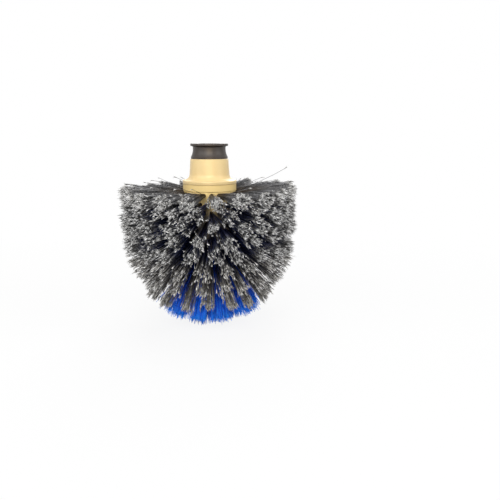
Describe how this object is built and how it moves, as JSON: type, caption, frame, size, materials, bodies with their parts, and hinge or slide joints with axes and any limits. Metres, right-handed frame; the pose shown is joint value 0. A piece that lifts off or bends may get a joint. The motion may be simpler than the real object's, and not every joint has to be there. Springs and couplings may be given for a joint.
{
  "type": "cobweb brush head",
  "caption": "Bullet-shaped brush head of grey split-end bristles with a blue bristle tip, on a tan core with a black threaded pole socket, for sweeping cobwebs.",
  "frame": {"origin": "centre of the lip's top face, where the shoulder of the pole comes to rest", "axes": "+Z along the pole socket, out of its mouth; the bristles point sideways and down"},
  "size_m": [0.176, 0.1762, 0.1764],
  "materials": {
    "bush_plastic": "satin black moulding",
    "block_plastic": "satin tan moulding",
    "grey_bristle": "split-end grey filament",
    "blue_bristle": "stiff blue filament",
    "anchor_wire": "flat drawn wire"
  },
  "bodies": {
    "root": {"thread_bush": "bush_plastic", "socket_cap": "block_plastic", "tuft_core": "block_plastic", "grey_tufts_row_1": "grey_bristle", "grey_tufts_row_2": "grey_bristle", "grey_tufts_row_3": "grey_bristle", "grey_tufts_row_4": "grey_bristle", "grey_tufts_row_5": "grey_bristle", "grey_tufts_row_6": "grey_bristle", "grey_tufts_row_7": "grey_bristle", "grey_tufts_row_8": "grey_bristle", "blue_tufts_row_9": "blue_bristle", "blue_tufts_row_10": "blue_bristle", "blue_tuft_centre": "blue_bristle", "anchors_row_1": "anchor_wire", "anchors_row_2": "anchor_wire", "anchors_row_3": "anchor_wire", "anchors_row_4": "anchor_wire", "anchors_row_5": "anchor_wire", "anchors_row_6": "anchor_wire", "anchors_row_7": "anchor_wire", "anchors_row_8": "anchor_wire", "anchors_row_9": "anchor_wire", "anchors_row_10": "anchor_wire", "anchor_centre": "anchor_wire"}
  },
  "joints": []
}
